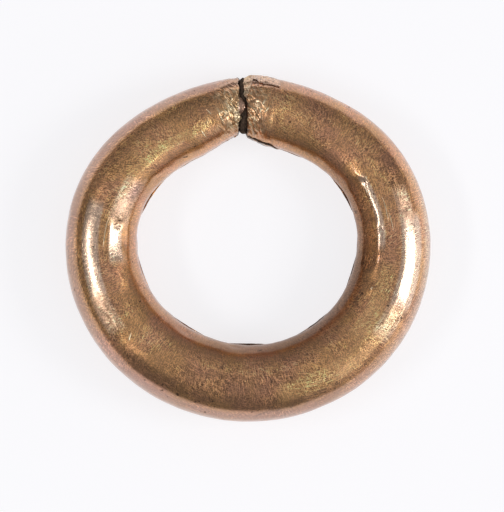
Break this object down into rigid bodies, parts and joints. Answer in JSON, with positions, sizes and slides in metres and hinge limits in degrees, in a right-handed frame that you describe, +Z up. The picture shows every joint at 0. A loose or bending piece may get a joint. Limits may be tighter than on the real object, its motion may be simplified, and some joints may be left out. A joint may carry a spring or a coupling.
{
  "type": "penannular earring",
  "caption": "Ancient penannular earring: a thick bent metal rod wrapped in gold foil, with foil-capped ends that almost meet.",
  "frame": {"origin": "middle of the hoop's outline, on the surface that the hoop lies on", "axes": "+Z up from that surface, along the hoop's axis and towards the viewer of the picture; +Y from the middle of the hoop towards its gap; +X towards the right arm in the picture"},
  "size_m": [0.02, 0.019, 0.0042],
  "materials": {
    "gold_foil": "worn, hand-burnished gold foil with a rosy copper tint, scratched and finely creased",
    "cup_foil": "duller gold foil, with soil left in its folds",
    "core_metal": "dark corroded copper alloy, matt"
  },
  "bodies": {
    "root": {"core_rod": "core_metal", "gold_foil_sheath": "gold_foil", "right_end_cup": "cup_foil", "left_end_cup": "cup_foil", "outer_foil_tongue": "gold_foil"}
  },
  "joints": []
}
